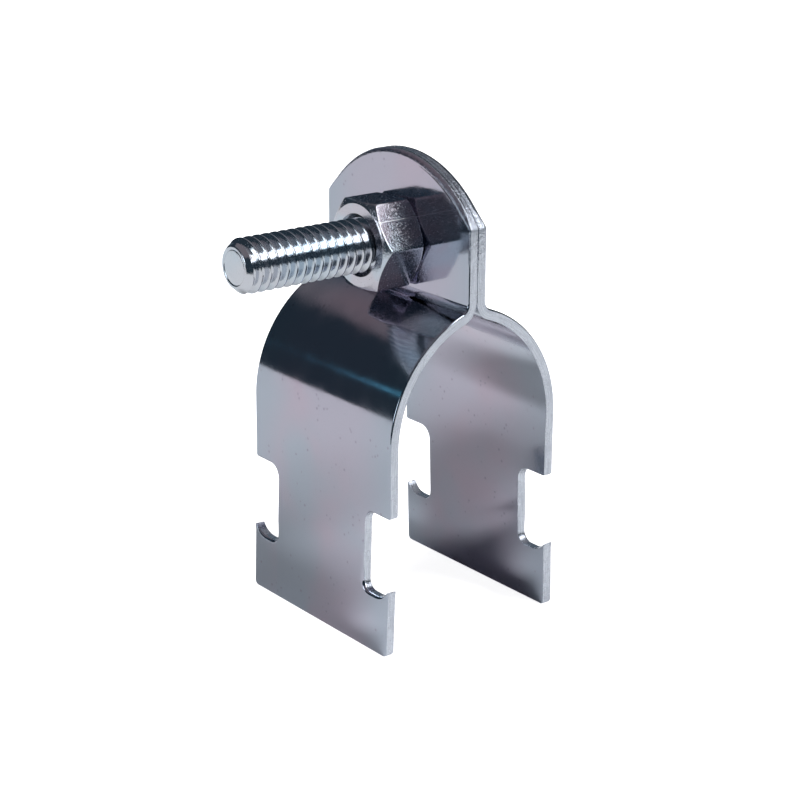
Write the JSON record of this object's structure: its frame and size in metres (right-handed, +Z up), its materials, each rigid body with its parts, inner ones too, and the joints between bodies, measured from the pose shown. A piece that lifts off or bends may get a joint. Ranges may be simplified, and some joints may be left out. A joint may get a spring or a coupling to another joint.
{
  "type": "conduit strut clamp",
  "caption": "Folded sheet strut clamp for conduit: mirrored straps with an arched seat, notched hooked feet and ears drawn together by a hex head screw and nut.",
  "frame": {"origin": "centre of the conduit seat: midway between the two straps, at the height of their seat arcs' centres and in the middle of their width", "axes": "+X along the screw towards its head, +Y along the conduit, +Z up towards the ears; the ears meet on the plane X = 0"},
  "size_m": [0.0446, 0.0324, 0.0679],
  "materials": {
    "zinc_sheet": "polished",
    "zinc_fastener": "polished"
  },
  "bodies": {
    "rear_half": {"rear_strap": "zinc_sheet"},
    "screw": {"clamp_screw": "zinc_fastener"},
    "front_half": {"front_strap": "zinc_sheet"},
    "nut": {"hex_nut": "zinc_fastener"}
  },
  "joints": [
    {"name": "screw_turn", "type": "hinge", "parent": "rear_half", "child": "screw", "pos_m": [0, 0, 0.025], "axis": [1, 0, 0], "continuous": true},
    {"name": "halves_spread", "type": "slide", "parent": "screw", "child": "front_half", "axis": [-1, 0, 0], "range_m": [0, 0.0195]},
    {"name": "nut_turn", "type": "hinge", "parent": "front_half", "child": "nut", "pos_m": [0, 0, 0.025], "axis": [-1, 0, 0], "range_deg": [0, 4980]}
  ],
  "couplings": [
    {"joint": "nut_turn", "follows": "halves_spread", "rad_per_m": 4452.7}
  ]
}
